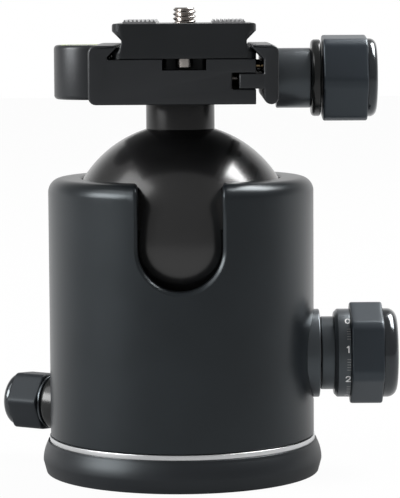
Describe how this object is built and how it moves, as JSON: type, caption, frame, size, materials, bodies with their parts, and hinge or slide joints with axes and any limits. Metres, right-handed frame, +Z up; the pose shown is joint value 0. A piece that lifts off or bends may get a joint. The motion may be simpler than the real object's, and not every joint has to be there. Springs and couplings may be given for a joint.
{
  "type": "tripod ball head",
  "caption": "Large ball head with a drop notch, a captive ball, a main lock knob with a tension dial, a pan lock knob and a screw-knob quick-release clamp holding a dovetail plate.",
  "frame": {"origin": "centre of the tapped tripod hole at the underside of the base, on the pan axis", "axes": "+Z up along the pan axis to the camera screw, +X towards the main lock knob and the clamp knob, -Y towards the drop notch"},
  "size_m": [0.1122, 0.0772, 0.1289],
  "materials": {
    "black_anodised": "satin black anodised aluminium, fine bead-blasted",
    "base_anodised": "satin black anodised aluminium, turned",
    "knob_metal": "black anodised aluminium, turned",
    "gloss_cap": "glossy black",
    "grip_rubber": "dark blue-grey rubber",
    "pad_rubber": "matt black ribbed rubber",
    "ball_coat": "smooth hard-anodised black",
    "neck_coat": "satin black anodised",
    "scale_metal": "bright turned ring",
    "steel": "turned stainless steel",
    "black_steel": "black oxide steel",
    "raw_aluminium": "turned, uncoated",
    "bronze": "bronze, machined",
    "spring_steel": "gold-toned spring wire",
    "bearing_plastic": "natural acetal",
    "level_plastic": "fluorescent yellow-green",
    "level_glass": "clear, domed"
  },
  "bodies": {
    "base": {"base_plate": "base_anodised", "thread_insert": "steel", "spindle": "steel", "retaining_flange": "steel", "spindle_screws": "black_steel", "glide_washer": "bearing_plastic", "scale_ring": "scale_metal"},
    "housing_body": {"housing": "black_anodised", "carrier_plate": "raw_aluminium", "upper_race": "bearing_plastic", "lock_bush": "black_anodised", "pan_bush": "gloss_cap"},
    "wedge": {"lock_wedge": "bronze"},
    "cup": {"brake_cup": "bearing_plastic"},
    "lock_knob": {"lock_shaft": "steel", "shaft_clip": "black_steel", "lock_knob_core": "knob_metal", "lock_grip": "grip_rubber", "lock_cap": "gloss_cap"},
    "dial": {"tension_dial": "knob_metal"},
    "pan_shoe": {"pan_pad": "bronze"},
    "pan_knob": {"pan_screw": "steel", "pan_knob_core": "knob_metal", "pan_grip": "grip_rubber", "pan_cap": "gloss_cap"},
    "ball_body": {"ball": "ball_coat"},
    "neck_body": {"neck": "neck_coat"},
    "clamp": {"clamp_base": "black_anodised", "neck_bolt": "black_steel", "level_cup": "level_plastic", "level_glass": "level_glass", "jaw_springs": "spring_steel"},
    "jaw": {"clamp_jaw": "black_anodised", "jaw_collar": "black_anodised", "guide_pins": "bronze"},
    "clamp_knob": {"clamp_screw": "steel", "clamp_knob_core": "knob_metal", "clamp_grip": "grip_rubber", "clamp_cap": "gloss_cap"},
    "plate": {"camera_plate": "black_anodised", "plate_pads": "pad_rubber", "stop_screws": "steel"},
    "screw_carrier": {"screw_washer": "steel"},
    "mount_screw": {"camera_screw": "steel"}
  },
  "joints": [
    {"name": "pan", "type": "hinge", "parent": "base", "child": "housing_body", "pos_m": [0, 0, 0.01025], "axis": [0, 0, 1], "continuous": true},
    {"name": "side_tilt", "type": "hinge", "parent": "housing_body", "child": "ball_body", "pos_m": [0, 0, 0.0645], "axis": [0, 1, 0], "range_deg": [-32, 32]},
    {"name": "front_tilt", "type": "hinge", "parent": "ball_body", "child": "neck_body", "pos_m": [0, 0, 0.0645], "axis": [1, 0, 0], "range_deg": [-25, 90]},
    {"name": "ball_spin", "type": "hinge", "parent": "neck_body", "child": "clamp", "pos_m": [0, 0, 0.1023], "axis": [0, 0, 1], "continuous": true},
    {"name": "jaw_slide", "type": "slide", "parent": "clamp", "child": "jaw", "axis": [1, 0, 0], "range_m": [0, 0.006], "deforming": ["jaw_springs"]},
    {"name": "clamp_knob_turn", "type": "hinge", "parent": "jaw", "child": "clamp_knob", "pos_m": [0.0358, 0, 0.1084], "axis": [1, 0, 0], "range_deg": [0, 2160.1]},
    {"name": "plate_slide", "type": "slide", "parent": "clamp", "child": "plate", "axis": [0, 1, 0], "range_m": [-0.005, 0.005]},
    {"name": "camera_screw_slide", "type": "slide", "parent": "plate", "child": "screw_carrier", "axis": [0, 1, 0], "range_m": [-0.01, 0.01]},
    {"name": "camera_screw_turn", "type": "hinge", "parent": "screw_carrier", "child": "mount_screw", "pos_m": [0.0013, 0, 0.1153], "axis": [0, 0, 1], "continuous": true},
    {"name": "lock_slide", "type": "slide", "parent": "housing_body", "child": "wedge", "axis": [1, 0, 0], "range_m": [0, 0.0009375]},
    {"name": "lock_knob_turn", "type": "hinge", "parent": "wedge", "child": "lock_knob", "pos_m": [0.0384, 0, 0.0323], "axis": [1, 0, 0], "range_deg": [0, 270.1]},
    {"name": "dial_turn", "type": "hinge", "parent": "lock_knob", "child": "dial", "pos_m": [0.042, 0, 0.0323], "axis": [1, 0, 0], "range_deg": [-40, 280]},
    {"name": "cup_lift", "type": "slide", "parent": "housing_body", "child": "cup", "axis": [0, 0, -1], "range_m": [0, 0.0003447]},
    {"name": "pan_lock_slide", "type": "slide", "parent": "housing_body", "child": "pan_shoe", "axis": [-0.866, 0.5, 0], "range_m": [0, 0.0006]},
    {"name": "pan_knob_turn", "type": "hinge", "parent": "pan_shoe", "child": "pan_knob", "pos_m": [-0.03819, 0.02205, 0.01575], "axis": [-0.866, 0.5, 0], "range_deg": [0, 270.1]}
  ],
  "couplings": [
    {"joint": "clamp_knob_turn", "follows": "jaw_slide", "rad_per_m": 6283.2},
    {"joint": "lock_knob_turn", "follows": "lock_slide", "rad_per_m": 5026.5},
    {"joint": "cup_lift", "follows": "lock_slide", "ratio": 0.36667},
    {"joint": "pan_knob_turn", "follows": "pan_lock_slide", "rad_per_m": 7854}
  ]
}
